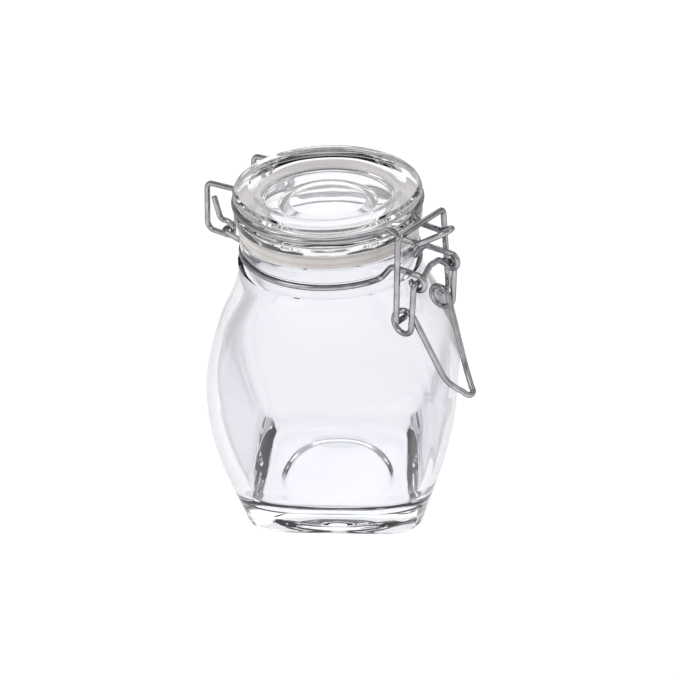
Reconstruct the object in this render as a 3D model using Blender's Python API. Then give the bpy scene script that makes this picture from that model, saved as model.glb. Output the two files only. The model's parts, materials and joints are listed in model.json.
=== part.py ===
"""Small clip-top glass jar: square barrel body, glass lid, rubber ring and a wire bail latch.

Frame: metres, +Z up. The origin is on the jar's axis, on the surface the jar stands on.
The latch is at -Y, the lid hinge at +Y, and X runs along both hinge axes.
Distances called "out" are measured from the jar's axis towards the latch, so Y = -out.
"""
import math

import bmesh
import bpy
from mathutils import Matrix, Vector

MM = 0.001

# ---- overall sizes ----
HEIGHT = 108.0 * MM            # base to the top of the lid
BELLY_HALF = 38.6 * MM         # half the width across the flats at the belly
BASE_HALF = 27.7 * MM          # half the width across the flats at the foot
BELLY_Z = 47.0 * MM
BELLY_POWER = 1.15             # how late the sides swell out above the foot
BODY_TURN = math.radians(33.3)  # the closure is clipped on turned from the body's flats
WALL = 3.0 * MM
FLOOR = 8.0 * MM               # the heavy base
FLOOR_ROUND = 3.0 * MM
FOOT_ROUND = 2.6 * MM
SQUARE_BASE = 6.0              # superellipse powers: 2 is round, larger is squarer
SQUARE_BELLY = 3.6
BODY_SIDES = 56
BODY_LEVELS = 13

# ---- lid, rubber ring and neck, stacked down from the top ----
LID_R = 28.3 * MM
LID_TALL = 10.3 * MM           # the glass above the rubber ring
LID_RECESS = 1.6 * MM
RECESS_R = 20.5 * MM
LID_CROWN = 0.5 * MM           # the recessed top is very slightly domed
LID_ROUND = 1.6 * MM
FLANGE_EDGE = 0.9 * MM
PLUG_R = 20.4 * MM
PLUG_EDGE = 0.8 * MM
PLUG_HOLLOW_R = 14.5 * MM
PLUG_HOLLOW = 3.0 * MM
RING_TALL = 3.5 * MM
RING_R = 27.2 * MM
RING_EDGE = 0.5 * MM
SEAT_GAP = 0.3 * MM            # between pieces that rest on each other
MOUTH_R = 21.2 * MM
NECK_R = 27.0 * MM             # bead round the mouth
BEAD_ROUND = 1.0 * MM
RIM_ROUND = 1.2 * MM
GROOVE_DEPTH = 1.6 * MM        # the neck wire lies in this groove
SHOULDER_HALF = 27.9 * MM      # where the shoulder meets the groove's fillet
SHOULDER_DROP = 3.6 * MM       # that corner, below the neck wire
TURN_STEPS = 48

# ---- wire ----
WIRE_D = 1.8 * MM
BEND = 2.4 * MM                # usual bend, to the wire's middle
PIN_GAP = 0.6 * MM             # running clearance between a hinge wire and its eye
SIDE_GAP = 0.2 * MM            # between wires that pass side by side
PIN_BEND = 1.7 * MM            # the tighter bends at hinges and hooks
LID_WIRE_DOWN = 4.5 * MM       # lid wire, below the top of the lid
LID_WIRE_SUNK = 1.3 * MM       # how deep the lid wire lies in the lid's edge
NECK_WIRE_DOWN = 20.4 * MM     # neck wire, below the top of the lid
WIRE_SIDES = 2                 # bevel resolution, eight sides
ARC_STEP = math.radians(24)
RING_STEP = math.radians(7.5)

# ---- latch ----
PIVOT_OUT = 39.0 * MM          # lever axis, held in the neck wire's eyes
PIVOT_DOWN = 17.5 * MM
COIL_OUT = 34.4 * MM           # lever's coils, where the bail hooks in
COIL_BELOW_PIVOT = 14.0 * MM
COIL_R = 3.5 * MM
ARM_SPLAY = 0.3 * MM           # each arm leans out from its eye to its coil
BAIL_UP = 27.1 * MM            # bail's crossbar above its hooked ends
BAIL_TOP_HALF = 11.0 * MM
HOOK_BEND = 1.3 * MM           # the bail's ends turn in tightly through the coils
SADDLE_PLAY = 1.8 * MM         # room under the bail's crossbar for the snap over centre
EYE_HALF = 8.1 * MM            # neck wire's eyes, from the middle
EYE_LEAD = 3.0 * MM            # the wire's ends stand this far off the hoop before the eyes
ARCH_RISE = 3.0 * MM           # the lever's bar arches up between the eyes
ARCH_TOP_HALF = 2.0 * MM
KNEE_OUT = 46.2 * MM
KNEE_DOWN = 50.2 * MM
KNEE_HALF = 5.0 * MM
KNEE_BEND = 13.0 * MM
TIP_OUT = 51.8 * MM
TIP_DOWN = 55.0 * MM
TIP_HALF = 1.9 * MM
TONGUE_HALF = 5.4 * MM
TONGUE_LEAD = 2.6 * MM         # from the lid wire's hoop to the tongue's saddle
SADDLE_LONG = 3.2 * MM         # level saddle, past the bail's crossbar
TONGUE_TAPER = 0.3 * MM
TONGUE_TIP_OUT = 44.8 * MM
TONGUE_TIP_HALF = 2.9 * MM
TONGUE_TIP_RISE = 4.4 * MM
TONGUE_SLOPE = 0.62            # rise per length of the tongue's turned-up end
TIP_STEPS = 4                  # points on a quarter of a rounded wire tip

# ---- rear hinge ----
HINGE_BACK = 31.0 * MM         # hinge axis, behind the jar's axis
HINGE_DOWN = 18.9 * MM
PRONG_HALF = 11.0 * MM
PRONG_BACK = 39.2 * MM         # back of the prongs' D shape
PRONG_LEAN = 1.2 * MM          # the D's back bar leans in towards its top
PRONG_SLOPE = 0.9 * MM         # drop of the prongs' top bars
TAIL_LOW_BACK = 33.6 * MM      # the prongs' cut ends slant up inside the D
TAIL_TOP_BACK = 35.6 * MM
TAIL_TOP_DOWN = 9.4 * MM

# ---- sizes that follow ----
WIRE_R = WIRE_D / 2
EYE_R = WIRE_D + PIN_GAP       # middle of a wire bent round another one
LID_WIRE_Z = HEIGHT - LID_WIRE_DOWN
LID_WIRE_R = LID_R + WIRE_R - LID_WIRE_SUNK
LID_UNDER_Z = HEIGHT - LID_TALL
GASKET_TOP = LID_UNDER_Z - SEAT_GAP
GASKET_BOTTOM = GASKET_TOP - RING_TALL
RIM_Z = GASKET_BOTTOM - SEAT_GAP
NECK_WIRE_Z = HEIGHT - NECK_WIRE_DOWN
GROOVE_R = NECK_R - GROOVE_DEPTH
NECK_WIRE_R = GROOVE_R + WIRE_R + SEAT_GAP
SHOULDER_Z = NECK_WIRE_Z - SHOULDER_DROP
PIVOT_Z = HEIGHT - PIVOT_DOWN
COIL_Z = PIVOT_Z - COIL_BELOW_PIVOT
HOOK_Z = COIL_Z + COIL_R - WIRE_D - SEAT_GAP
BAR_Z = HOOK_Z + BAIL_UP
SADDLE_Z = BAR_Z - WIRE_D - SADDLE_PLAY
ARM_HALF = EYE_HALF + WIRE_D + SIDE_GAP
COIL_OUTER = ARM_HALF + ARM_SPLAY
COIL_INNER = COIL_OUTER - WIRE_D - SIDE_GAP
BAIL_LOW_HALF = COIL_OUTER + WIRE_D + 4 * SIDE_GAP
HINGE_Z = HEIGHT - HINGE_DOWN
PIN_HALF = PRONG_HALF + WIRE_D + 2 * SIDE_GAP


def material(name, colour, roughness, metallic=0.0, transmission=0.0):
    mat = bpy.data.materials.new(name)
    mat.use_nodes = True
    shader = mat.node_tree.nodes["Principled BSDF"]
    shader.inputs["Base Color"].default_value = (*colour, 1.0)
    shader.inputs["Roughness"].default_value = roughness
    shader.inputs["Metallic"].default_value = metallic
    shader.inputs["Transmission Weight"].default_value = transmission
    return mat


def add_object(name, data, mat, place=(0, 0, 0)):
    """Link a new object whose origin is at place; its data is in world coordinates."""
    data.transform(Matrix.Translation(-Vector(place)))
    data.materials.append(mat)
    obj = bpy.data.objects.new(name, data)
    obj.location = place
    bpy.context.scene.collection.objects.link(obj)
    return obj


def mesh_object(name, bm, mat, place=(0, 0, 0)):
    bmesh.ops.recalc_face_normals(bm, faces=bm.faces)
    mesh = bpy.data.meshes.new(name)
    bm.to_mesh(mesh)
    bm.free()
    mesh.shade_smooth()
    mesh.set_sharp_from_angle(angle=math.radians(50))
    return add_object(name, mesh, mat, place)


def turned(name, profile, mat, place=(0, 0, 0)):
    """A solid turned about Z from a closed outline of (radius, z) points."""
    bm = bmesh.new()
    verts = [bm.verts.new((r, 0, z)) for r, z in profile]
    edges = [bm.edges.new(pair) for pair in zip(verts, verts[1:] + verts[:1])]
    axis_edges = [e for e in edges if max(abs(v.co.x) for v in e.verts) < 1e-9]
    for edge in axis_edges:
        bm.edges.remove(edge)
    live = [e for e in edges if e.is_valid]
    bmesh.ops.spin(bm, geom=verts + live, cent=(0, 0, 0), axis=(0, 0, 1),
                   angle=math.tau, steps=TURN_STEPS, use_merge=True)
    bmesh.ops.remove_doubles(bm, verts=bm.verts, dist=1e-6)
    bmesh.ops.dissolve_degenerate(bm, dist=1e-7, edges=bm.edges)
    return mesh_object(name, bm, mat, place)


def arc(centre, radius, start, end, steps):
    """Points on an arc in a plane of (radius, z), with angles in degrees."""
    angles = [math.radians(start + (end - start) * i / steps) for i in range(steps + 1)]
    return [(centre[0] + radius * math.cos(a), centre[1] + radius * math.sin(a))
            for a in angles]


def bent(points, radius):
    """A path through points with each inner corner replaced by an arc of that radius."""
    points = [Vector(p) for p in points]
    path = [points[0]]
    for before, corner, after in zip(points, points[1:], points[2:]):
        into, out = (corner - before), (after - corner)
        turn = into.angle(out)
        if turn < math.radians(3):
            path.append(corner)
            continue
        cut = radius * math.tan(turn / 2)
        cut = min(cut, 0.49 * into.length, 0.49 * out.length)
        into, out = into.normalized(), out.normalized()
        fitted = cut / math.tan(turn / 2)
        inward = (out - into).normalized()
        centre = corner + inward * math.hypot(cut, fitted)
        first = corner - into * cut - centre
        axis = into.cross(out).normalized()
        steps = max(2, math.ceil(turn / ARC_STEP))
        for i in range(steps + 1):
            path.append(centre + Matrix.Rotation(turn * i / steps, 3, axis) @ first)
    return path + [points[-1]]


def mirrored(half):
    """A half path that starts at the far end and ends near X = 0, and its mirror image."""
    return [Vector(p) for p in half] + [Vector((-p[0], p[1], p[2])) for p in reversed(half)]


def wire(name, path, mat, place=(0, 0, 0), closed=False):
    """A round wire along a path, with flat cut ends unless it is closed."""
    kept = [Vector(path[0])]
    for point in path[1:]:
        if (Vector(point) - kept[-1]).length > 0.05 * MM:
            kept.append(Vector(point))
    curve = bpy.data.curves.new(name, "CURVE")
    curve.dimensions = "3D"
    curve.bevel_depth = WIRE_R
    curve.bevel_resolution = WIRE_SIDES
    curve.use_fill_caps = True
    curve.render_resolution_u = 0
    spline = curve.splines.new("POLY")
    spline.points.add(len(kept) - 1)
    for target, point in zip(spline.points, kept):
        target.co = (*point, 1.0)
    spline.use_cyclic_u = closed
    return add_object(name, curve, mat, place)


# ---- glass body ----
def shoulder_part(z):
    """0 at the belly, 1 at the top of the shoulder."""
    return min(1.0, (z - BELLY_Z) / (SHOULDER_Z - BELLY_Z))


def body_half(z):
    """Half the width across the flats at height z: barrel below, shoulder above."""
    if z <= BELLY_Z:
        grow = math.sin(math.pi / 2 * (z / BELLY_Z) ** BELLY_POWER)
        return BASE_HALF + (BELLY_HALF - BASE_HALF) * grow
    shrink = (1 - math.cos(math.pi * shoulder_part(z))) / 2
    return BELLY_HALF - (BELLY_HALF - SHOULDER_HALF) * shrink


def squareness(z):
    """Superellipse power at height z: squarest at the foot, round at the neck."""
    if z <= BELLY_Z:
        return SQUARE_BASE + (SQUARE_BELLY - SQUARE_BASE) * z / BELLY_Z
    return 2.0 + (SQUARE_BELLY - 2.0) * (1 - shoulder_part(z))


def section(half, power, z):
    """One level ring of the body, turned to the closure."""
    ring = []
    for i in range(BODY_SIDES):
        a = math.tau * i / BODY_SIDES
        c, s = abs(math.cos(a)), abs(math.sin(a))
        r = half / (c ** power + s ** power) ** (1 / power)
        ring.append((r * math.cos(a + BODY_TURN), r * math.sin(a + BODY_TURN), z))
    return ring


def jar_rings():
    """Rings from the middle of the base, up the outside, over the rim and down inside."""
    rings = []
    for r, z in arc((-FOOT_ROUND, FOOT_ROUND), FOOT_ROUND, -90, 0, 3):
        rings.append(section(body_half(z) + r, squareness(z), z))
    for i in range(1, BODY_LEVELS + 1):
        z = FOOT_ROUND + (SHOULDER_Z - FOOT_ROUND) * i / BODY_LEVELS
        rings.append(section(body_half(z), squareness(z), z))
    bead_low = NECK_WIRE_Z + WIRE_R + SEAT_GAP
    neck = [(GROOVE_R, NECK_WIRE_Z - WIRE_R), (GROOVE_R, bead_low)]
    neck += arc((NECK_R - BEAD_ROUND, bead_low + BEAD_ROUND), BEAD_ROUND, -60, 0, 2)
    neck += arc((NECK_R - RIM_ROUND, RIM_Z - RIM_ROUND), RIM_ROUND, 0, 90, 3)
    neck += arc((MOUTH_R + BEAD_ROUND, RIM_Z - BEAD_ROUND), BEAD_ROUND, 90, 180, 3)
    for r, z in neck:
        rings.append(section(r, 2.0, z))
    top, low = SHOULDER_Z, FLOOR + FLOOR_ROUND
    for i in range(BODY_LEVELS):
        z = top - (top - low) * i / (BODY_LEVELS - 1)
        inner = max(body_half(z) - WALL, MOUTH_R)
        rings.append(section(inner, squareness(z), z))
    inner = body_half(low) - WALL
    for r, z in arc((inner - FLOOR_ROUND, low), FLOOR_ROUND, -30, -90, 3):
        rings.append(section(r, squareness(z), z))
    return rings


def make_jar(mat):
    bm = bmesh.new()
    loops = [[bm.verts.new(p) for p in ring] for ring in jar_rings()]
    for low, high in zip(loops, loops[1:]):
        count = len(low)
        for i in range(count):
            j = (i + 1) % count
            bm.faces.new((low[i], low[j], high[j], high[i]))
    bm.faces.new(list(reversed(loops[0])))
    bm.faces.new(loops[-1])
    return mesh_object("jar", bm, mat)


# ---- lid and rubber ring ----
def make_lid(mat, place):
    """Thick pressed lid: raised rim, groove for the lid wire, flange, and a hollow plug."""
    groove_r = LID_WIRE_R - WIRE_R - SEAT_GAP
    groove_half = WIRE_R + SEAT_GAP
    plug_z = GASKET_BOTTOM + SEAT_GAP
    recess_z = HEIGHT - LID_RECESS
    profile = [(0, recess_z + LID_CROWN), (RECESS_R / 2, recess_z + 0.75 * LID_CROWN)]
    profile += [(RECESS_R, recess_z), (RECESS_R + LID_RECESS, HEIGHT - 0.7 * LID_RECESS)]
    profile += [(RECESS_R + 2 * LID_RECESS, HEIGHT)]
    profile += arc((LID_R - LID_ROUND, HEIGHT - LID_ROUND), LID_ROUND, 90, 0, 4)
    profile += [(groove_r, LID_WIRE_Z + groove_half), (groove_r, LID_WIRE_Z - groove_half)]
    profile += [(LID_R, LID_WIRE_Z - groove_half - FLANGE_EDGE)]
    profile += [(LID_R, LID_UNDER_Z + FLANGE_EDGE), (LID_R - FLANGE_EDGE, LID_UNDER_Z)]
    profile += [(PLUG_R, LID_UNDER_Z), (PLUG_R, plug_z + PLUG_EDGE)]
    profile += [(PLUG_R - PLUG_EDGE, plug_z), (PLUG_HOLLOW_R, plug_z)]
    profile += [(PLUG_HOLLOW_R - PLUG_HOLLOW, plug_z + PLUG_HOLLOW)]
    profile += [(0, plug_z + PLUG_HOLLOW + LID_CROWN)]
    return turned("lid", profile, mat, place=place)


def make_gasket(mat, place):
    inner = PLUG_R + SEAT_GAP
    profile = [(inner, GASKET_TOP), (inner, GASKET_BOTTOM)]
    profile += [(RING_R - RING_EDGE, GASKET_BOTTOM), (RING_R, GASKET_BOTTOM + RING_EDGE)]
    profile += [(RING_R, GASKET_TOP - RING_EDGE), (RING_R - RING_EDGE, GASKET_TOP)]
    return turned("gasket", profile, mat, place=place)


# ---- wires ----
def hoop(radius, z, start, end):
    """Points round the jar's axis at height z, between two angles in radians."""
    steps = max(2, math.ceil(abs(end - start) / RING_STEP))
    angles = [start + (end - start) * i / steps for i in range(steps + 1)]
    return [Vector((radius * math.cos(a), radius * math.sin(a), z)) for a in angles]


def upright_arc(x, out, z, radius, start, end, x_end=None):
    """Points on an arc in an upright plane that holds the jar's axis direction.

    Angles are in degrees from straight out towards the latch, positive upwards.
    """
    steps = max(2, math.ceil(abs(math.radians(end - start)) / ARC_STEP))
    x_end = x if x_end is None else x_end
    points = []
    for i in range(steps + 1):
        t = i / steps
        a = math.radians(start + (end - start) * t)
        points.append(Vector((x + (x_end - x) * t, -(out + radius * math.cos(a)),
                              z + radius * math.sin(a))))
    return points


def join_hoop(leg_end, hoop_points, leg_start):
    """A leg, a bend of usual size into the hoop, the hoop, and a bend out to a leg."""
    into = bent([leg_end, hoop_points[0], hoop_points[1]], BEND)
    out = bent([hoop_points[-2], hoop_points[-1], leg_start], BEND)
    return into[1:-1] + hoop_points[1:-1] + out[1:-1]


def quarter_tip(start, ahead, half):
    """A quarter of a rounded wire tip, from X = half in towards X = 0."""
    points = []
    for i in range(TIP_STEPS):
        a = math.radians(90 * (i + 0.5) / TIP_STEPS)
        points.append(start + ahead * half * math.sin(a) + Vector((half * math.cos(a), 0, 0)))
    return points


def make_neck_wire(mat):
    """Neck wire: a hoop with an eye at each front end and a hinge pin at the back."""
    front = -math.acos(EYE_HALF / NECK_WIRE_R)
    back = math.acos(PIN_HALF / NECK_WIRE_R)
    eye = upright_arc(EYE_HALF, PIVOT_OUT, PIVOT_Z, EYE_R, -180, 90)
    ring = hoop(NECK_WIRE_R, NECK_WIRE_Z, front, back)
    rise = (EYE_HALF, -(NECK_WIRE_R + EYE_LEAD), PIVOT_Z + EYE_R)
    lead = bent([eye[-1], rise, ring[0]], BEND)
    pin_corner = (PIN_HALF, HINGE_BACK, HINGE_Z)
    turn = join_hoop(rise, ring, pin_corner)
    corner = bent([ring[-1], pin_corner, (0, HINGE_BACK, HINGE_Z)], PIN_BEND)
    half = eye + lead[1:-1] + turn + corner[1:-1]
    return wire("neck_wire", mirrored(half), mat)


def make_lid_wire(mat, place):
    """Lid wire: a tongue in front, a hoop round the lid and two hinge prongs behind."""
    tail = (PRONG_HALF, TAIL_TOP_BACK, HEIGHT - TAIL_TOP_DOWN)
    tail_low = (PRONG_HALF, TAIL_LOW_BACK, HINGE_Z + EYE_R)
    hook = upright_arc(PRONG_HALF, -HINGE_BACK, HINGE_Z, EYE_R, 90, -90)
    low_back = (PRONG_HALF, PRONG_BACK, HINGE_Z - EYE_R)
    high_back = (PRONG_HALF, PRONG_BACK - PRONG_LEAN, LID_WIRE_Z - PRONG_SLOPE)
    ring_start = math.acos(PRONG_HALF / LID_WIRE_R)
    ring_end = -math.acos(TONGUE_HALF / LID_WIRE_R)
    ring = hoop(LID_WIRE_R, LID_WIRE_Z, ring_start, ring_end)
    dip = (TONGUE_HALF, -(LID_WIRE_R + TONGUE_LEAD), SADDLE_Z)
    rise = (TONGUE_HALF - TONGUE_TAPER, -(COIL_OUT + SADDLE_LONG), SADDLE_Z)
    tip_start = Vector((0, -(TONGUE_TIP_OUT - TONGUE_TIP_HALF),
                        SADDLE_Z + TONGUE_TIP_RISE - TONGUE_SLOPE * TONGUE_TIP_HALF))
    tip = quarter_tip(tip_start, Vector((0, -1, TONGUE_SLOPE)), TONGUE_TIP_HALF)
    prong = bent([tail, tail_low, hook[0]], PIN_BEND) + hook[1:]
    back = bent([hook[-1], low_back, high_back, ring[0]], BEND)
    turn = join_hoop(high_back, ring, dip)
    tongue = bent([ring[-1], dip, rise, tip[0]], BEND)
    half = prong + back[1:-1] + turn + tongue[1:-1] + tip
    return wire("lid_wire", mirrored(half), mat, place)


def make_lever(mat, place):
    """Lever: an arched bar through the neck eyes, two arms, two coils and a thumb loop."""
    coil = Vector((0, -COIL_OUT, COIL_Z))
    pivot = Vector((0, -PIVOT_OUT, PIVOT_Z))
    knee = Vector((0, -KNEE_OUT, HEIGHT - KNEE_DOWN))
    start, end = tangent_angle(coil, pivot, 1), tangent_angle(coil, knee, -1) - 360
    loop = upright_arc(COIL_OUTER, COIL_OUT, COIL_Z, COIL_R, start, end, COIL_INNER)
    corner = (ARM_HALF, -PIVOT_OUT, PIVOT_Z)
    foot = (EYE_HALF - WIRE_D - 2 * SIDE_GAP, -PIVOT_OUT, PIVOT_Z)
    crown = (ARCH_TOP_HALF, -PIVOT_OUT, PIVOT_Z + ARCH_RISE)
    bar = bent([(0, crown[1], crown[2]), crown, foot, corner, loop[0]], PIN_BEND)
    knee_point = knee + Vector((KNEE_HALF, 0, 0))
    ahead = (Vector((0, -TIP_OUT, HEIGHT - TIP_DOWN)) - knee).normalized()
    tip_start = Vector((0, -TIP_OUT, HEIGHT - TIP_DOWN)) - ahead * TIP_HALF
    tip = quarter_tip(tip_start, ahead, TIP_HALF)
    leg = bent([loop[-1], knee_point, tip[0]], KNEE_BEND)
    half = bar[1:-1] + loop + leg[1:] + tip[1:]
    return wire("lever", mirrored(half), mat, place, closed=True)


def tangent_angle(coil, point, side):
    """Angle on the coil, in degrees, where a straight run to the point leaves it."""
    away = Vector((-(point.y - coil.y), point.z - coil.z))
    spread = math.acos(COIL_R / away.length)
    return math.degrees(math.atan2(away.y, away.x) - side * spread)


def make_bail(mat, place):
    """Bail: a U whose crossbar sits over the tongue and whose ends hook into the coils."""
    end = (COIL_INNER, -COIL_OUT, HOOK_Z)
    low = (BAIL_LOW_HALF, -COIL_OUT, HOOK_Z)
    high = (BAIL_TOP_HALF, -COIL_OUT, BAR_Z)
    hook = bent([end, low, high], HOOK_BEND)
    top = bent([low, high, (0, -COIL_OUT, BAR_Z)], PIN_BEND)
    return wire("bail", mirrored(hook[:-1] + top[1:-1]), mat, place)


def joint_frame(name, place, parent):
    empty = bpy.data.objects.new(name, None)
    empty.empty_display_size = 5 * MM
    empty.location = Vector(place) - (parent.location if parent else Vector())
    empty.parent = parent
    bpy.context.scene.collection.objects.link(empty)
    return empty


def hang(obj, frame, place):
    """Parent an object to a joint's empty, with its origin on that joint's axis."""
    obj.parent = frame
    obj.location = obj.location - Vector(place)


def build():
    for obj in list(bpy.data.objects):
        bpy.data.objects.remove(obj)
    glass = material("clear_glass", (0.93, 0.95, 0.96), 0.03, transmission=1.0)
    rubber = material("grey_rubber", (0.62, 0.59, 0.55), 0.6)
    steel = material("bright_wire", (0.62, 0.63, 0.65), 0.18, metallic=1.0)
    hinge = (0, HINGE_BACK, HINGE_Z)
    pivot = (0, -PIVOT_OUT, PIVOT_Z)
    hook = (0, -COIL_OUT, HOOK_Z)
    make_jar(glass)
    make_neck_wire(steel)
    lid_frame = joint_frame("lid_hinge", hinge, None)
    for made in (make_lid(glass, hinge), make_gasket(rubber, hinge),
                 make_lid_wire(steel, hinge)):
        hang(made, lid_frame, hinge)
    lever_frame = joint_frame("lever_hinge", pivot, None)
    hang(make_lever(steel, pivot), lever_frame, pivot)
    bail_frame = joint_frame("bail_hinge", hook, lever_frame)
    hang(make_bail(steel, hook), bail_frame, hook)


build()
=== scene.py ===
"""Looks of the small clip-top glass jar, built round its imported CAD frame.

Metres, +Z up. The latch is at -Y and the lid hinge at +Y. "Out" is the distance from the
jar's axis towards the latch, so Y = -out. Hinge axes and heights come from the frame.
"""
import json
import math

import bmesh
import bpy
from mathutils import Matrix, Vector


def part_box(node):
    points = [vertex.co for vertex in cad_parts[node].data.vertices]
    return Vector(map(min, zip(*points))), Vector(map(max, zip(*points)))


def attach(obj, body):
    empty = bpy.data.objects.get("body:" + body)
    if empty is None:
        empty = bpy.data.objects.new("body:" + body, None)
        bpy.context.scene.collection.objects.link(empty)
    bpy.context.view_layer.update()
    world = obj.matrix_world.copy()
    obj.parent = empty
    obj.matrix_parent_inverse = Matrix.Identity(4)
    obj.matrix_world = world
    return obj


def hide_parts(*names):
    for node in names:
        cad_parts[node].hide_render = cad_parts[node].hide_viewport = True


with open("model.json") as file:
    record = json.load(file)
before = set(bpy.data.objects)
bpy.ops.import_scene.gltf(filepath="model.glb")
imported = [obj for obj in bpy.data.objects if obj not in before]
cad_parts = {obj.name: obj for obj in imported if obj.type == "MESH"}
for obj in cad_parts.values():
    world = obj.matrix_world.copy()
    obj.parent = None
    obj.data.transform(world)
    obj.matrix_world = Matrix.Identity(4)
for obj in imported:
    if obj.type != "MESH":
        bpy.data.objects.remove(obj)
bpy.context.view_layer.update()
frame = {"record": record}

MM = 0.001
SEAT_GAP = 0.3 * MM            # between two pieces that seat on each other
ROUND = 2.0                    # superellipse power of a circle


def joint_place(name):
    """Out and height of a joint's axis."""
    joint = next(j for j in frame["record"]["behaviour"]["joints"] if j["name"] == name)
    return -joint["pos_m"][1], joint["pos_m"][2]


def top_of(node):
    """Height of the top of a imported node."""
    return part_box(node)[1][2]


def bottom_of(node):
    """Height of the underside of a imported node."""
    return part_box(node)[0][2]


def half_width(node):
    """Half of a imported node's size along X."""
    return (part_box(node)[1][0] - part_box(node)[0][0]) / 2


# ---- from the frame ----
LID_TOP = top_of("lid")
PLUG_Z = bottom_of("lid")
GASKET_TOP = top_of("gasket")
GASKET_BOTTOM = bottom_of("gasket")
RIM_Z = top_of("jar")
LID_R = half_width("lid")
RING_R = half_width("gasket")
PIVOT_OUT, PIVOT_Z = joint_place("lever_hinge")
COIL_OUT, HOOK_Z = joint_place("bail_hinge")
HINGE_OUT, HINGE_Z = joint_place("lid_hinge")
HINGE_BACK = -HINGE_OUT

# ---- glass body ----
BELLY_HALF = 38.6 * MM
BASE_HALF = 27.7 * MM
BELLY_Z = 47.0 * MM
BELLY_POWER = 1.15
BODY_TURN = math.radians(33.3)
WALL = 3.0 * MM
INNER_ROUNDER = 0.78           # share of the outside's squareness that the hollow has
FLOOR = 8.0 * MM
FLOOR_CROWN = 2.4 * MM         # the inner floor rises in the middle
FLOOR_ROUND = 10.0 * MM
FOOT_ROUND = 2.6 * MM
PUSH_UP = 2.2 * MM             # round domed hollow under the base
PUSH_UP_R = 20.5 * MM
DOME_SAG = 0.45                # share of its height that this dome loses towards its edge
DOME_LIP = 0.2                 # share of its radius in which it comes down to the foot
NECK_FLARE = 11.0 * MM         # height over which the hollow widens below the neck
SQUARE_BASE = 6.0
SQUARE_BELLY = 3.6
MOUTH_R = 21.2 * MM
NECK_R = 27.0 * MM
BEAD_ROUND = 1.0 * MM
RIM_ROUND = 1.2 * MM
GROOVE_DEPTH = 1.6 * MM
SHOULDER_HALF = 27.9 * MM
SHOULDER_DROP = 3.6 * MM
SEAM_RISE = 0.10 * MM          # mould seams on two opposite corners
SEAM_WIDTH = math.radians(1.1)
SEAM_AT = math.radians(45)
RIPPLE = 0.035 * MM            # waviness of the pressed inner surface
RIPPLE_WAVES = ((7, 55, 0.0), (3, -90, 1.0))    # each: count round the jar, climb, start
RIPPLE_FADE_TOP = 10.0 * MM
RIPPLE_FADE_LOW = 8.0 * MM
RIPPLE_LEAST = 0.3             # share of the waviness just above the floor
BODY_SIDES = 240
BODY_LEVELS = 84
DOME_RINGS = 20
FOOT_STEPS = 8
SHOULDER_STEPS = 8
BEAD_STEPS = 7
RIM_STEPS = 9
FLOOR_STEPS = 12
FLOOR_RINGS = 14

# ---- lid and rubber ring ----
LID_RECESS = 1.6 * MM          # a soft dish in the lid's top
DISH_FLAT_R = 19.6 * MM
DISH_R = 24.4 * MM
DISH_STEPS = 28
LID_CROWN = 0.5 * MM
LID_ROUND = 1.6 * MM
LID_EDGE_IN = 0.3              # a point of the round top edge, as shares of LID_ROUND
LID_EDGE_DOWN = 0.35
LID_SOFT = 0.9 * MM            # rounding of the lid's other corners
GROOVE_LIP = 0.4 * MM
GROOVE_DRAFT = 0.2 * MM
FLANGE_EDGE = 0.9 * MM
LID_TALL = LID_TOP - GASKET_TOP - SEAT_GAP
PLUG_R = 20.4 * MM
PLUG_ROOT = 0.6 * MM
PLUG_DRAFT = 0.1 * MM
PLUG_EDGE = 1.0 * MM
PLUG_HOLLOW_R = 14.5 * MM
PLUG_HOLLOW = 3.0 * MM
RING_ROUND = 0.5 * MM
RING_GROOVE_HALF = 0.5 * MM    # shallow groove moulded round the rubber ring's side
RING_GROOVE_FLAT = 0.2 * MM
RING_GROOVE_DEEP = 0.25 * MM
TURN_STEPS = 240

# ---- wire ----
WIRE_D = 1.8 * MM
BEND = 2.4 * MM
PIN_BEND = 1.7 * MM
HOOK_BEND = 1.3 * MM
KNEE_BEND = 13.0 * MM
PIN_GAP = 0.6 * MM
SIDE_GAP = 0.2 * MM
LID_WIRE_DOWN = 4.5 * MM
LID_WIRE_SUNK = 1.3 * MM
NECK_WIRE_DOWN = 20.4 * MM
WIRE_SIDES = 8                 # bevel resolution
ARC_STEP = math.radians(7)
RING_STEP = math.radians(2)
CUT_ROUND = 0.35 * MM          # rounded edge of a cut wire end
CUT_END = ((0.0, 0.62), (0.12, 0.84), (0.45, 0.96), (1.0, 1.0))    # (share in, share of radius)
HOOP_SKIP = 4                  # points of a hoop given up to the bend at each of its ends
LEAST_STEP = 0.05 * MM         # nearer points of a path are merged

COIL_R = 3.5 * MM
ARM_SPLAY = 0.3 * MM
BAIL_UP = 27.1 * MM
BAIL_TOP_HALF = 11.0 * MM
SADDLE_PLAY = 1.8 * MM
EYE_HALF = 8.1 * MM
EYE_LEAD = 3.0 * MM
ARCH_RISE = 3.0 * MM
ARCH_TOP_HALF = 2.0 * MM
KNEE_OUT = 46.2 * MM
KNEE_DOWN = 50.2 * MM
KNEE_HALF = 5.0 * MM
TIP_OUT = 51.8 * MM
TIP_DOWN = 55.0 * MM
TIP_HALF = 1.9 * MM
TONGUE_HALF = 5.4 * MM
TONGUE_LEAD = 2.6 * MM
SADDLE_LONG = 3.2 * MM
TONGUE_TAPER = 0.3 * MM
TONGUE_TIP_OUT = 44.8 * MM
TONGUE_TIP_HALF = 2.9 * MM
TONGUE_TIP_RISE = 4.4 * MM
TONGUE_SLOPE = 0.62
TIP_STEPS = 9
PRONG_HALF = 11.0 * MM
PRONG_BACK = 39.2 * MM
PRONG_LEAN = 1.2 * MM
PRONG_SLOPE = 0.9 * MM
TAIL_LOW_BACK = 33.6 * MM
TAIL_TOP_BACK = 35.6 * MM
TAIL_TOP_DOWN = 9.4 * MM

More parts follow.
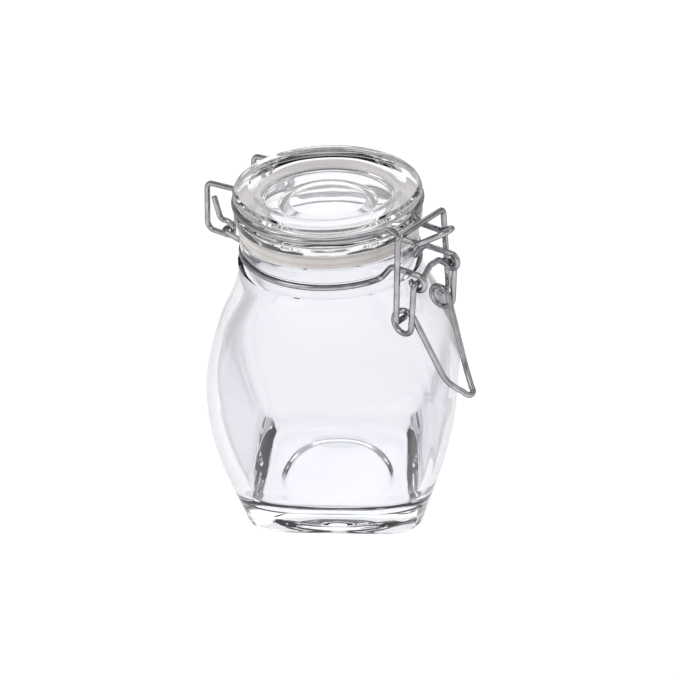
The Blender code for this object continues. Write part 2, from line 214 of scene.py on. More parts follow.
# ---- sizes that follow ----
WIRE_R = WIRE_D / 2
EYE_R = WIRE_D + PIN_GAP
LID_WIRE_Z = LID_TOP - LID_WIRE_DOWN
LID_WIRE_R = LID_R + WIRE_R - LID_WIRE_SUNK
LID_UNDER_Z = LID_TOP - LID_TALL
NECK_WIRE_Z = LID_TOP - NECK_WIRE_DOWN
GROOVE_R = NECK_R - GROOVE_DEPTH
NECK_WIRE_R = GROOVE_R + WIRE_R + SEAT_GAP
SHOULDER_Z = NECK_WIRE_Z - SHOULDER_DROP
COIL_Z = HOOK_Z - COIL_R + WIRE_D + SEAT_GAP
BAR_Z = HOOK_Z + BAIL_UP
SADDLE_Z = BAR_Z - WIRE_D - SADDLE_PLAY
ARM_HALF = EYE_HALF + WIRE_D + SIDE_GAP
COIL_OUTER = ARM_HALF + ARM_SPLAY
COIL_INNER = COIL_OUTER - WIRE_D - SIDE_GAP
BAIL_LOW_HALF = COIL_OUTER + WIRE_D + 4 * SIDE_GAP
PIN_HALF = PRONG_HALF + WIRE_D + 2 * SIDE_GAP


# ---- materials ----
NOISE_LOW, NOISE_HIGH = 0.3, 0.7    # most values of a noise lie between these
ABSORBED = (0.50, 0.55, 0.55, 1.0)


def fill_ramp(node, stops):
    """Set a colour ramp's (position, colour) stops."""
    elements = node.color_ramp.elements
    while len(elements) < len(stops):
        elements.new(0.5)
    for element, (position, colour) in zip(elements, stops):
        element.position = position
        element.color = (*colour, 1.0)


class Nodes:
    """A short way to build one material's node tree."""

    def __init__(self, name):
        self.mat = bpy.data.materials.new(name)
        self.mat.use_nodes = True
        self.tree = self.mat.node_tree
        self.shader = self.tree.nodes["Principled BSDF"]

    def add(self, kind, **settings):
        node = self.tree.nodes.new(kind)
        for key, value in settings.items():
            setattr(node, key, value)
        return node

    def link(self, source, target):
        self.tree.links.new(source, target)

    def value(self, socket, value):
        self.shader.inputs[socket].default_value = value

    def place(self, scale=(1, 1, 1)):
        """Object coordinates, stretched by scale."""
        coords = self.add("ShaderNodeTexCoord")
        mapping = self.add("ShaderNodeMapping")
        mapping.inputs["Scale"].default_value = scale
        self.link(coords.outputs["Object"], mapping.inputs["Vector"])
        return mapping.outputs["Vector"]

    def noise(self, vector, scale, detail=3.0, roughness=0.5):
        noise = self.add("ShaderNodeTexNoise")
        noise.inputs["Scale"].default_value = scale
        noise.inputs["Detail"].default_value = detail
        noise.inputs["Roughness"].default_value = roughness
        self.link(vector, noise.inputs["Vector"])
        return noise.outputs["Fac"]

    def ramp(self, factor, stops):
        ramp = self.add("ShaderNodeValToRGB")
        fill_ramp(ramp, stops)
        self.link(factor, ramp.inputs["Fac"])
        return ramp.outputs["Color"]

    def blend(self, noise, low, high):
        """From one colour to another over a noise's usual values."""
        return self.ramp(noise, [(NOISE_LOW, low), (NOISE_HIGH, high)])

    def spread(self, noise, low, high):
        """From one number to another over a noise's usual values."""
        remap = self.add("ShaderNodeMapRange")
        remap.inputs["From Min"].default_value = NOISE_LOW
        remap.inputs["From Max"].default_value = NOISE_HIGH
        remap.inputs["To Min"].default_value = low
        remap.inputs["To Max"].default_value = high
        self.link(noise, remap.inputs["Value"])
        return remap.outputs["Result"]

    def paint_grazing_shade(self, colour, stops):
        """The base colour, multiplied by stops that run from face-on to grazing: painted shade
        towards grazing, in place of reflected dark surroundings.
        """
        weight = self.add("ShaderNodeLayerWeight")
        weight.inputs["Blend"].default_value = 0.5
        mix = self.add("ShaderNodeMix", data_type="RGBA", blend_type="MULTIPLY")
        mix.inputs["Factor"].default_value = 1.0
        self.link(colour, mix.inputs["A"])
        self.link(self.ramp(weight.outputs["Facing"], stops), mix.inputs["B"])
        self.link(mix.outputs["Result"], self.shader.inputs["Base Color"])

    def bump(self, height, strength, distance):
        bump = self.add("ShaderNodeBump")
        bump.inputs["Strength"].default_value = strength
        bump.inputs["Distance"].default_value = distance
        self.link(height, bump.inputs["Height"])
        self.link(bump.outputs["Normal"], self.shader.inputs["Normal"])


def glass_material(name, tint, rim, wave, density):
    """Clear pressed glass with a soft waviness and slightly hazy patches.

    Absorption darkens it where it is thick. The stops darken it towards grazing, to the colour
    rim: painted shade that stands in for reflections of the dark surroundings of a studio.
    """
    n = Nodes(name)
    absorb = n.add("ShaderNodeVolumeAbsorption")
    absorb.inputs["Color"].default_value = ABSORBED
    absorb.inputs["Density"].default_value = density
    n.link(absorb.outputs["Volume"], n.tree.nodes["Material Output"].inputs["Volume"])
    n.value("IOR", 1.5)
    n.value("Transmission Weight", 1.0)
    where = n.place()
    cloud = n.noise(where, scale=60.0, detail=1.0)
    paler = [min(1.0, c + 0.012) for c in tint]
    # painted reflection: the glass's colour is darkened towards grazing, down to rim, in place of
    # reflected dark surroundings
    n.paint_grazing_shade(n.blend(cloud, tint, paler), [(0.0, (1, 1, 1)), (0.45, (0.97, 0.97, 0.975)),
                                          (0.80, (0.55, 0.56, 0.58)), (1.0, rim)])
    haze = n.noise(where, scale=900.0, detail=2.0)
    n.link(n.spread(haze, 0.0, 0.025), n.shader.inputs["Roughness"])
    swell = n.noise(n.place((1.0, 1.0, 0.35)), scale=85.0, detail=1.0)
    n.bump(swell, strength=wave, distance=0.5 * MM)
    return n.mat


def steel_material():
    """Bright wire with fine marks and a few duller patches, and painted shade towards grazing in
    place of reflected dark surroundings.
    """
    n = Nodes("bright_wire")
    n.value("Metallic", 1.0)
    where = n.place()
    patch = n.noise(where, scale=260.0, detail=4.0)
    drawn = n.blend(patch, (0.40, 0.405, 0.415), (0.62, 0.625, 0.635))
    # painted reflection: the wire's colour is darkened towards grazing, in place of reflected
    # dark surroundings
    n.paint_grazing_shade(drawn, [(0.0, (1, 1, 1)), (0.25, (0.80, 0.80, 0.81)), (0.6, (0.26, 0.265, 0.28)),
                    (1.0, (0.10, 0.105, 0.115))])
    marks = n.noise(where, scale=2600.0, detail=3.0, roughness=0.6)
    n.link(n.spread(marks, 0.07, 0.17), n.shader.inputs["Roughness"])
    dents = n.noise(n.place(), scale=1800.0, detail=2.0)
    n.bump(dents, strength=0.10, distance=0.05 * MM)
    return n.mat


def rubber_material():
    """Grey-beige rubber with a fine moulded grain."""
    n = Nodes("grey_rubber")
    where = n.place()
    mottle = n.noise(where, scale=120.0, detail=4.0)
    n.link(n.blend(mottle, (0.70, 0.66, 0.63), (0.79, 0.75, 0.72)),
           n.shader.inputs["Base Color"])
    dull = n.noise(where, scale=700.0, detail=3.0)
    n.link(n.spread(dull, 0.42, 0.62), n.shader.inputs["Roughness"])
    grain = n.noise(where, scale=2400.0, detail=3.0, roughness=0.6)
    n.bump(grain, strength=0.25, distance=0.06 * MM)
    n.value("Sheen Weight", 0.15)
    return n.mat


# ---- mesh helpers ----
SHARP_ANGLE = math.radians(55)
LEAST_CORNER = math.radians(8)      # a flatter corner of an outline isn't rounded
CORNER_SHARE = 0.45                 # share of a side that one rounded corner may take
AXIS_R = 1e-6                       # an outline's point nearer to the axis lies on it
NO_LENGTH = 1e-7


def finish_mesh(name, bm, mat):
    """A smooth-shaded object with one material, from a bmesh."""
    bmesh.ops.recalc_face_normals(bm, faces=bm.faces)
    mesh = bpy.data.meshes.new(name)
    bm.to_mesh(mesh)
    bm.free()
    mesh.shade_smooth()
    mesh.set_sharp_from_angle(angle=SHARP_ANGLE)
    mesh.materials.append(mat)
    obj = bpy.data.objects.new(name, mesh)
    bpy.context.scene.collection.objects.link(obj)
    return obj


def arc(centre, radius, start, end, steps):
    """Points on an arc in a plane of (radius, z), with angles in degrees."""
    angles = [math.radians(start + (end - start) * i / steps) for i in range(steps + 1)]
    return [(centre[0] + radius * math.cos(a), centre[1] + radius * math.sin(a))
            for a in angles]


def rounded(points, radius, steps=5):
    """A closed (radius, z) outline with its corners rounded, where the sides leave room."""
    points = [Vector((r, z)) for r, z in points]
    out = []
    for i, corner in enumerate(points):
        before, after = points[i - 1], points[(i + 1) % len(points)]
        into, away = corner - before, after - corner
        if corner.x < AXIS_R or into.length < NO_LENGTH or away.length < NO_LENGTH:
            out.append(corner)
            continue
        turn = into.angle(away)
        if turn < LEAST_CORNER:
            out.append(corner)
            continue
        cut = min(radius * math.tan(turn / 2), CORNER_SHARE * into.length,
                  CORNER_SHARE * away.length)
        start = corner - into.normalized() * cut
        stop = corner + away.normalized() * cut
        for k in range(steps + 1):
            t = k / steps
            out.append(start * (1 - t) ** 2 + corner * (2 * t * (1 - t)) + stop * t ** 2)
    return [(p.x, p.y) for p in out]


def turned(name, profile, mat):
    """A solid turned about Z from a closed outline of (radius, z) points."""
    bm = bmesh.new()
    verts = [bm.verts.new((r, 0, z)) for r, z in profile]
    for a, b in zip(verts, verts[1:] + verts[:1]):
        if max(abs(a.co.x), abs(b.co.x)) > 1e-9:
            bm.edges.new((a, b))
    bmesh.ops.spin(bm, geom=verts + list(bm.edges), cent=(0, 0, 0), axis=(0, 0, 1),
                   angle=math.tau, steps=TURN_STEPS, use_merge=True)
    bmesh.ops.remove_doubles(bm, verts=bm.verts, dist=AXIS_R)
    bmesh.ops.dissolve_degenerate(bm, dist=NO_LENGTH, edges=bm.edges)
    return finish_mesh(name, bm, mat)


# ---- glass body ----
def smooth(t):
    """Half a cosine wave that rises from 0 to 1 while t does."""
    return (1 - math.cos(math.pi * min(1.0, max(0.0, t)))) / 2


def shoulder_part(z):
    """Share of the way up from the belly to the neck."""
    return min(1.0, (z - BELLY_Z) / (SHOULDER_Z - BELLY_Z))


def body_half(z):
    """Half of the body's width across its flats at a height."""
    if z <= BELLY_Z:
        grow = math.sin(math.pi / 2 * (max(0.0, z) / BELLY_Z) ** BELLY_POWER)
        return BASE_HALF + (BELLY_HALF - BASE_HALF) * grow
    return BELLY_HALF - (BELLY_HALF - SHOULDER_HALF) * smooth(shoulder_part(z))


def squareness(z):
    """Superellipse power of the outside at a height. It is round at the neck."""
    if z <= BELLY_Z:
        return SQUARE_BASE + (SQUARE_BELLY - SQUARE_BASE) * z / BELLY_Z
    return ROUND + (SQUARE_BELLY - ROUND) * (1 - shoulder_part(z))


def inner_squareness(z):
    """The same for the hollow, which is a little rounder."""
    return ROUND + (squareness(z) - ROUND) * INNER_ROUNDER


def superellipse(a, half, power):
    """Radius at an angle from the middle of one flat."""
    c, s = abs(math.cos(a)), abs(math.sin(a))
    return half / (c ** power + s ** power) ** (1 / power)


def section(half, power, z, seam=0.0, ripple=0.0):
    """One level ring of the body, with the mould seams outside or the ripple inside."""
    ring = []
    for i in range(BODY_SIDES):
        a = math.tau * i / BODY_SIDES
        r = superellipse(a, half, power)
        off = (a - SEAM_AT) % math.pi
        off = min(off, math.pi - off)
        r += seam * math.exp(-(off / SEAM_WIDTH) ** 2)
        wave = ripple
        for count, climb, start in RIPPLE_WAVES:
            wave *= math.sin(count * a + climb * z + start)
        r += wave
        ring.append((r * math.cos(a + BODY_TURN), r * math.sin(a + BODY_TURN), z))
    return ring


def under_rings():
    """From the middle of the base out to the foot: a round dome, then the bearing face."""
    rings = []
    for i in range(1, DOME_RINGS + 1):
        t = i / DOME_RINGS
        down = smooth((t - (1 - DOME_LIP)) / DOME_LIP)
        z = PUSH_UP * (1 - DOME_SAG * t * t) * (1 - down)
        rings.append(section(PUSH_UP_R * t, ROUND, z))
    foot = BASE_HALF - FOOT_ROUND
    for t in (0.25, 0.5, 0.75):
        half = PUSH_UP_R + (foot - PUSH_UP_R) * t
        rings.append(section(half, ROUND + (SQUARE_BASE - ROUND) * t, 0.0))
    return rings


def outer_rings():
    """Up the outside: the foot's rounding, belly, shoulder, and the bottom of the groove."""
    rings = []
    for r, z in arc((-FOOT_ROUND, FOOT_ROUND), FOOT_ROUND, -90, 0, FOOT_STEPS):
        rings.append(section(body_half(z) + r, squareness(z), z, SEAM_RISE * z / FOOT_ROUND))
    for i in range(1, BODY_LEVELS + 1):
        z = FOOT_ROUND + (SHOULDER_Z - FOOT_ROUND) * i / BODY_LEVELS
        rings.append(section(body_half(z), squareness(z), z, SEAM_RISE))
    low = NECK_WIRE_Z - WIRE_R
    for i in range(1, SHOULDER_STEPS + 1):
        t = i / SHOULDER_STEPS
        r = SHOULDER_HALF + (GROOVE_R - SHOULDER_HALF) * math.sin(math.pi / 2 * t)
        z = SHOULDER_Z + (low - SHOULDER_Z) * (1 - math.cos(math.pi / 2 * t))
        rings.append(section(r, ROUND, z, SEAM_RISE * (1 - t)))
    return rings


def neck_rings():
    """From the groove over the bead and the rounded rim into the mouth."""
    bead_low = NECK_WIRE_Z + WIRE_R + SEAT_GAP
    neck = [(GROOVE_R, bead_low)]
    neck += arc((NECK_R - BEAD_ROUND, bead_low + BEAD_ROUND), BEAD_ROUND, -60, 0, BEAD_STEPS)
    neck += arc((NECK_R - RIM_ROUND, RIM_Z - RIM_ROUND), RIM_ROUND, 0, 90, RIM_STEPS)
    neck += arc((MOUTH_R + BEAD_ROUND, RIM_Z - BEAD_ROUND), BEAD_ROUND, 90, 180, RIM_STEPS)
    return [section(r, ROUND, z) for r, z in neck]


def inner_rings():
    """Down the inside: straight mouth, shoulder, belly, and the rounded, crowned floor."""
    rings = []
    top, low = NECK_WIRE_Z + WIRE_D, FLOOR + FLOOR_ROUND
    for i in range(BODY_LEVELS):
        z = top - (top - low) * i / (BODY_LEVELS - 1)
        widen = smooth((top - z) / NECK_FLARE)
        inner = MOUTH_R + (body_half(z) - WALL - MOUTH_R) * widen
        fade = min(1.0, (top - z) / RIPPLE_FADE_TOP,
                   (z - low) / RIPPLE_FADE_LOW + RIPPLE_LEAST)
        rings.append(section(inner, inner_squareness(z), z, ripple=RIPPLE * fade))
    power = inner_squareness(low)
    flat = body_half(low) - WALL - FLOOR_ROUND
    for r, z in arc((flat, low), FLOOR_ROUND, -8, -84, FLOOR_STEPS):
        rings.append(section(r, power, z))
    for i in range(1, FLOOR_RINGS):
        t = 1 - i / FLOOR_RINGS
        z = FLOOR + FLOOR_CROWN * (1 - smooth(t))
        rings.append(section(flat * t, ROUND + (power - ROUND) * t, z))
    return rings


def make_jar(mat):
    """One closed skin over all the rings, from under the base to the inner floor."""
    bm = bmesh.new()
    rings = under_rings() + outer_rings() + neck_rings() + inner_rings()
    loops = [[bm.verts.new(p) for p in ring] for ring in rings]
    for low, high in zip(loops, loops[1:]):
        for i in range(BODY_SIDES):
            j = (i + 1) % BODY_SIDES
            bm.faces.new((low[i], low[j], high[j], high[i]))
    for loop, z in ((loops[0], PUSH_UP), (loops[-1], FLOOR + FLOOR_CROWN)):
        middle = bm.verts.new((0, 0, z))
        for i in range(BODY_SIDES):
            bm.faces.new((loop[i], loop[(i + 1) % BODY_SIDES], middle))
    return finish_mesh("glass_jar", bm, mat)


# ---- lid and rubber ring ----
def make_lid(mat):
    """The dished top, the groove for its wire, the flange, and the hollow plug below."""
    groove_r = LID_WIRE_R - WIRE_R - SEAT_GAP
    groove_half = WIRE_R + SEAT_GAP
    profile = []
    for i in range(DISH_STEPS + 1):
        r = DISH_R * i / DISH_STEPS
        rise = smooth((r - DISH_FLAT_R) / (DISH_R - DISH_FLAT_R))
        crown = LID_CROWN * (1 - (r / DISH_R) ** 2)
        profile.append((r, LID_TOP - LID_RECESS * (1 - rise) + crown))
    profile += [(LID_R - LID_ROUND, LID_TOP)]
    profile += [(LID_R - LID_EDGE_IN * LID_ROUND, LID_TOP - LID_EDGE_DOWN * LID_ROUND)]
    profile += [(LID_R, LID_TOP - LID_ROUND)]
    profile += [(LID_R - GROOVE_DRAFT, LID_WIRE_Z + groove_half + GROOVE_LIP)]
    profile += [(groove_r, LID_WIRE_Z + groove_half), (groove_r, LID_WIRE_Z - groove_half)]
    profile += [(LID_R, LID_WIRE_Z - groove_half - FLANGE_EDGE)]
    profile += [(LID_R, LID_UNDER_Z + FLANGE_EDGE), (LID_R - FLANGE_EDGE, LID_UNDER_Z)]
    profile += [(PLUG_R + PLUG_ROOT, LID_UNDER_Z), (PLUG_R, LID_UNDER_Z - PLUG_ROOT)]
    profile += [(PLUG_R - PLUG_DRAFT, PLUG_Z + PLUG_EDGE), (PLUG_R - PLUG_EDGE, PLUG_Z)]
    profile += [(PLUG_HOLLOW_R, PLUG_Z)]
    profile += [(PLUG_HOLLOW_R - PLUG_HOLLOW, PLUG_Z + PLUG_HOLLOW)]
    profile += [(0, PLUG_Z + PLUG_HOLLOW + LID_CROWN)]
    return turned("glass_lid", rounded(profile, LID_SOFT), mat)


def make_gasket(mat):
    """Rubber ring with rounded edges and a shallow moulded groove round its side."""
    inner = PLUG_R + SEAT_GAP
    waist = RING_R - RING_GROOVE_DEEP
    middle = (GASKET_TOP + GASKET_BOTTOM) / 2
    profile = [(inner, GASKET_TOP), (inner, GASKET_BOTTOM), (RING_R, GASKET_BOTTOM)]
    profile += [(RING_R, middle - RING_GROOVE_HALF), (waist, middle - RING_GROOVE_FLAT)]
    profile += [(waist, middle + RING_GROOVE_FLAT), (RING_R, middle + RING_GROOVE_HALF)]
    profile += [(RING_R, GASKET_TOP)]
    return turned("rubber_ring", rounded(profile, RING_ROUND), mat)


# ---- wires ----
LEAST_BEND = math.radians(3)        # a flatter corner of a path isn't bent
BEND_SHARE = 0.49                   # share of a straight run that one bend may take
LEAST_ARC_STEPS = 3


def bent(points, radius):
    """A path through points with each inner corner replaced by an arc of that radius."""
    points = [Vector(p) for p in points]
    path = [points[0]]
    for before, corner, after in zip(points, points[1:], points[2:]):
        into, out = corner - before, after - corner
        turn = into.angle(out)
        if turn < LEAST_BEND:
            path.append(corner)
            continue
        cut = min(radius * math.tan(turn / 2), BEND_SHARE * into.length,
                  BEND_SHARE * out.length)
        into, out = into.normalized(), out.normalized()
        fitted = cut / math.tan(turn / 2)
        centre = corner + (out - into).normalized() * math.hypot(cut, fitted)
        first = corner - into * cut - centre
        axis = into.cross(out).normalized()
        steps = max(LEAST_ARC_STEPS, math.ceil(turn / ARC_STEP))
        for i in range(steps + 1):
            path.append(centre + Matrix.Rotation(turn * i / steps, 3, axis) @ first)
    return path + [points[-1]]


def mirrored(half):
    """A path and its mirror image in X = 0, in reverse, as one path."""
    return [Vector(p) for p in half] + [Vector((-p[0], p[1], p[2])) for p in reversed(half)]


def rounded_end(path):
    """The path as (point, share of the radius) pairs, narrowing at its two cut ends."""
    first = (path[1] - path[0]).normalized()
    last = (path[-2] - path[-1]).normalized()
    start = [(path[0] + first * CUT_ROUND * t, size) for t, size in CUT_END]
    stop = [(path[-1] + last * CUT_ROUND * t, size) for t, size in reversed(CUT_END)]
    return start + [(p, 1.0) for p in path[1:-1]] + stop


def wire(name, path, mat, closed=False):
    """A round wire along a path, with slightly rounded cut ends unless it is closed."""
    kept = [Vector(path[0])]
    for point in path[1:]:
        if (Vector(point) - kept[-1]).length > LEAST_STEP:
            kept.append(Vector(point))
    sized = [(p, 1.0) for p in kept] if closed else rounded_end(kept)
    curve = bpy.data.curves.new(name, "CURVE")
    curve.dimensions = "3D"
    curve.bevel_depth = WIRE_R
    curve.bevel_resolution = WIRE_SIDES
    curve.use_fill_caps = True
    spline = curve.splines.new("POLY")
    spline.points.add(len(sized) - 1)
    for target, (point, size) in zip(spline.points, sized):
        target.co = (*point, 1.0)
        target.radius = size
    spline.use_cyclic_u = closed
    spline.use_smooth = True
    curve.materials.append(mat)
    obj = bpy.data.objects.new(name, curve)
    bpy.context.scene.collection.objects.link(obj)
    return obj


def hoop(radius, z, start, end):
    """Points on a level arc about the jar's axis, with angles in radians from +X."""
    steps = max(2, math.ceil(abs(end - start) / RING_STEP))
    angles = [start + (end - start) * i / steps for i in range(steps + 1)]
    return [Vector((radius * math.cos(a), radius * math.sin(a), z)) for a in angles]


def upright_arc(x, out, z, radius, start, end, x_end=None):
    """Points on an arc in an upright plane, in degrees from straight out, positive upwards."""
    steps = max(2, math.ceil(abs(math.radians(end - start)) / ARC_STEP))
    x_end = x if x_end is None else x_end
    points = []
    for i in range(steps + 1):
        t = i / steps
        a = math.radians(start + (end - start) * t)
        points.append(Vector((x + (x_end - x) * t, -(out + radius * math.cos(a)),
                              z + radius * math.sin(a))))
    return points


def join_hoop(leg_end, hoop_points, leg_start):
    """A leg, a bend of usual size into the hoop, the hoop, and a bend out to a leg."""
    middle = hoop_points[HOOP_SKIP:-HOOP_SKIP]
    into = bent([leg_end, hoop_points[0], middle[0]], BEND)
    out = bent([middle[-1], hoop_points[-1], leg_start], BEND)
    return into[1:-1] + middle + out[1:-1]


def quarter_tip(start, ahead, half):
    """A quarter of a rounded wire tip, from X = half in towards X = 0."""
    points = []
    for i in range(TIP_STEPS):
        a = math.radians(90 * (i + 0.5) / TIP_STEPS)
        points.append(start + ahead * half * math.sin(a) + Vector((half * math.cos(a), 0, 0)))
    return points


def make_neck_wire(mat):
    """Half of it: the eye, its lead back to the neck, the hoop, and the hinge pin behind."""
    front = -math.acos(EYE_HALF / NECK_WIRE_R)
    back = math.acos(PIN_HALF / NECK_WIRE_R)
    eye = upright_arc(EYE_HALF, PIVOT_OUT, PIVOT_Z, EYE_R, -180, 90)
    ring = hoop(NECK_WIRE_R, NECK_WIRE_Z, front, back)
    rise = (EYE_HALF, -(NECK_WIRE_R + EYE_LEAD), PIVOT_Z + EYE_R)
    lead = bent([eye[-1], rise, ring[0]], BEND)
    pin_corner = (PIN_HALF, HINGE_BACK, HINGE_Z)
    turn = join_hoop(rise, ring, pin_corner)
    corner = bent([ring[-1], pin_corner, (0, HINGE_BACK, HINGE_Z)], PIN_BEND)
    return wire("wire_neck", mirrored(eye + lead[1:-1] + turn + corner[1:-1]), mat)


def make_lid_wire(mat):
    """Half of it: the prong that hooks round the pin, the hoop, and the tongue in front."""
    tail = (PRONG_HALF, TAIL_TOP_BACK, LID_TOP - TAIL_TOP_DOWN)
    tail_low = (PRONG_HALF, TAIL_LOW_BACK, HINGE_Z + EYE_R)
    hook = upright_arc(PRONG_HALF, -HINGE_BACK, HINGE_Z, EYE_R, 90, -90)
    low_back = (PRONG_HALF, PRONG_BACK, HINGE_Z - EYE_R)
    high_back = (PRONG_HALF, PRONG_BACK - PRONG_LEAN, LID_WIRE_Z - PRONG_SLOPE)
    ring_start = math.acos(PRONG_HALF / LID_WIRE_R)
    ring_end = -math.acos(TONGUE_HALF / LID_WIRE_R)
    ring = hoop(LID_WIRE_R, LID_WIRE_Z, ring_start, ring_end)
    dip = (TONGUE_HALF, -(LID_WIRE_R + TONGUE_LEAD), SADDLE_Z)
    rise = (TONGUE_HALF - TONGUE_TAPER, -(COIL_OUT + SADDLE_LONG), SADDLE_Z)
    tip_start = Vector((0, -(TONGUE_TIP_OUT - TONGUE_TIP_HALF),
                        SADDLE_Z + TONGUE_TIP_RISE - TONGUE_SLOPE * TONGUE_TIP_HALF))
    tip = quarter_tip(tip_start, Vector((0, -1, TONGUE_SLOPE)), TONGUE_TIP_HALF)
    prong = bent([tail, tail_low, hook[0]], PIN_BEND) + hook[1:]
    back = bent([hook[-1], low_back, high_back, ring[0]], BEND)
    turn = join_hoop(high_back, ring, dip)
    tongue = bent([ring[-1], dip, rise, tip[0]], BEND)
    return wire("wire_lid", mirrored(prong + back[1:-1] + turn + tongue[1:-1] + tip), mat)


def tangent_angle(coil, point, side):
    """Angle on the coil, in degrees, where a straight run to the point leaves it."""
    away = Vector((-(point.y - coil.y), point.z - coil.z))
    spread = math.acos(COIL_R / away.length)
    return math.degrees(math.atan2(away.y, away.x) - side * spread)


def make_lever(mat):
    """Half of it: the bar in the eyes with its arch, the arm, the coil, and the thumb loop."""
    coil = Vector((0, -COIL_OUT, COIL_Z))
    pivot = Vector((0, -PIVOT_OUT, PIVOT_Z))
    knee = Vector((0, -KNEE_OUT, LID_TOP - KNEE_DOWN))
    start, end = tangent_angle(coil, pivot, 1), tangent_angle(coil, knee, -1) - 360
    loop = upright_arc(COIL_OUTER, COIL_OUT, COIL_Z, COIL_R, start, end, COIL_INNER)
    corner = (ARM_HALF, -PIVOT_OUT, PIVOT_Z)
    foot = (EYE_HALF - WIRE_D - 2 * SIDE_GAP, -PIVOT_OUT, PIVOT_Z)
    crown = (ARCH_TOP_HALF, -PIVOT_OUT, PIVOT_Z + ARCH_RISE)
    bar = bent([(0, crown[1], crown[2]), crown, foot, corner, loop[0]], PIN_BEND)
    end_point = Vector((0, -TIP_OUT, LID_TOP - TIP_DOWN))
    ahead = (end_point - knee).normalized()
    tip = quarter_tip(end_point - ahead * TIP_HALF, ahead, TIP_HALF)
    leg = bent([loop[-1], knee + Vector((KNEE_HALF, 0, 0)), tip[0]], KNEE_BEND)
    return wire("wire_lever", mirrored(bar[1:-1] + loop + leg[1:] + tip[1:]), mat, closed=True)


def make_bail(mat):
    """Half of it: the end hooked through the coil, the leg, and the crossbar."""
    end = (COIL_INNER, -COIL_OUT, HOOK_Z)
    low = (BAIL_LOW_HALF, -COIL_OUT, HOOK_Z)
    high = (BAIL_TOP_HALF, -COIL_OUT, BAR_Z)
    hook = bent([end, low, high], HOOK_BEND)
    top = bent([low, high, (0, -COIL_OUT, BAR_Z)], PIN_BEND)
    return wire("wire_bail", mirrored(hook[:-1] + top[1:-1]), mat)


# ---- surroundings ----
FLOOR_SIZE = 6.0
FLOOR_CELLS = 8
FLOOR_DROP = 0.0002            # keeps the floor's face clear of the jar's foot
WORLD_STOPS = ((0.0, 1.75), (0.25, 1.3), (0.55, 0.6), (1.0, 0.7))
WORLD_BLUE = 1.01
WORLD_STRENGTH = 0.5
VIEW_AZIMUTH = math.radians(-50.6)
VIEW_ELEVATION = math.radians(30.4)
VIEW_DISTANCE = 0.711
VIEW_ROLL = -0.0436
AIM_HEIGHT = 0.0543
AIM_SIDE = 0.0018
LENS = 122.2


def add_floor():
    """A white floor that glows a little, so that it reads as an endless backdrop."""
    bm = bmesh.new()
    bmesh.ops.create_grid(bm, x_segments=FLOOR_CELLS, y_segments=FLOOR_CELLS,
                          size=FLOOR_SIZE / 2)
    n = Nodes("white_floor")
    grain = n.noise(n.place(), scale=40.0, detail=2.0)
    n.link(n.blend(grain, (0.90, 0.90, 0.905), (0.92, 0.92, 0.925)),
           n.shader.inputs["Base Color"])
    n.value("Roughness", 0.9)
    n.value("Specular IOR Level", 0.1)
    n.value("Emission Color", (1, 1, 1, 1))
    n.value("Emission Strength", 0.50)
    floor = finish_mesh("floor", bm, n.mat)
    floor.location.z = -FLOOR_DROP


def add_world():
    """Studio surroundings: brightest from the horizon down, under half of that overhead."""
    world = bpy.data.worlds.new("studio")
    world.use_nodes = True
    bpy.context.scene.world = world
    tree = world.node_tree
    coords = tree.nodes.new("ShaderNodeTexCoord")
    split = tree.nodes.new("ShaderNodeSeparateXYZ")
    ramp = tree.nodes.new("ShaderNodeValToRGB")
    fill_ramp(ramp, [(place, (level, level, level * WORLD_BLUE)) for place, level in WORLD_STOPS])
    tree.links.new(coords.outputs["Generated"], split.inputs["Vector"])
    tree.links.new(split.outputs["Z"], ramp.inputs["Fac"])
    tree.links.new(ramp.outputs["Color"], tree.nodes["Background"].inputs["Color"])
    tree.nodes["Background"].inputs["Strength"].default_value = WORLD_STRENGTH


def add_light(name, azimuth, elevation, distance, size, power):
    """A soft square light that faces the jar, with angles in degrees."""
    light = bpy.data.lights.new(name, "AREA")
    light.shape = "SQUARE"
    light.size = size
    light.energy = power
    obj = bpy.data.objects.new(name, light)
    a, e = math.radians(azimuth), math.radians(elevation)
    away = Vector((math.sin(a) * math.cos(e), -math.cos(a) * math.cos(e), math.sin(e)))
    obj.location = away * distance + Vector((0, 0, LID_TOP / 2))
    obj.rotation_euler = away.to_track_quat("Z", "Y").to_euler()
    bpy.context.scene.collection.objects.link(obj)


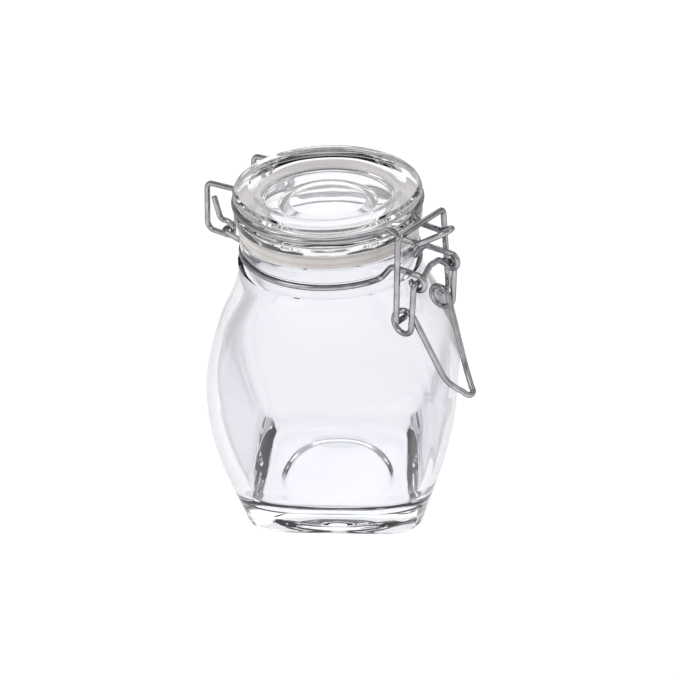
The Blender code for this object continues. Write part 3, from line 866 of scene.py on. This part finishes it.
def add_camera():
    """The photo's view. Azimuth is counted from -Y, and the roll turns it about its axis."""
    a, e = VIEW_AZIMUTH, VIEW_ELEVATION
    near = Vector((math.sin(a), -math.cos(a), 0))
    side = Vector((math.cos(a), math.sin(a), 0))
    aim = side * AIM_SIDE + Vector((0, 0, AIM_HEIGHT))
    away = near * math.cos(e) + Vector((0, 0, math.sin(e)))
    camera = bpy.data.cameras.new("camera")
    camera.lens = LENS
    camera.clip_start = 0.01
    obj = bpy.data.objects.new("camera", camera)
    obj.location = aim + away * VIEW_DISTANCE
    turn = away.to_track_quat("Z", "Y").to_matrix()
    obj.rotation_euler = (turn @ Matrix.Rotation(VIEW_ROLL, 3, "Z")).to_euler()
    bpy.context.scene.collection.objects.link(obj)
    bpy.context.scene.camera = obj


# ---- put together ----
def place_piece(piece, body, node):
    """Put a piece on its body, in place of its CAD node, which is hidden."""
    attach(piece, body)
    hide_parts(node)


add_camera()
add_floor()
add_world()
add_light("key", azimuth=-110, elevation=48, distance=0.9, size=0.5, power=1.2)
add_light("fill", azimuth=30, elevation=42, distance=1.0, size=0.5, power=0.7)
add_light("back", azimuth=128, elevation=36, distance=1.1, size=0.9, power=3.0)
bpy.context.scene.view_settings.view_transform = "Standard"

# rim: colour of the painted shade at each glass's grazing edges
jar_glass = glass_material("clear_glass", tint=(0.925, 0.925, 0.95),
                           rim=(0.08, 0.085, 0.095), wave=0.2, density=6.0)
lid_glass = glass_material("lid_glass", tint=(0.985, 0.975, 0.98),
                           rim=(0.45, 0.45, 0.47), wave=0.12, density=4.0)
steel = steel_material()
rubber = rubber_material()
jar = make_jar(jar_glass)
lid = make_lid(lid_glass)
for piece in (jar, lid):
    piece.visible_shadow = False    # light passes through clear glass, with no caustics traced
place_piece(jar, "jar_body", "jar")
place_piece(make_neck_wire(steel), "jar_body", "neck_wire")
place_piece(lid, "lid_body", "lid")
place_piece(make_gasket(rubber), "lid_body", "gasket")
place_piece(make_lid_wire(steel), "lid_body", "lid_wire")
place_piece(make_lever(steel), "lever_body", "lever")
place_piece(make_bail(steel), "bail_body", "bail")
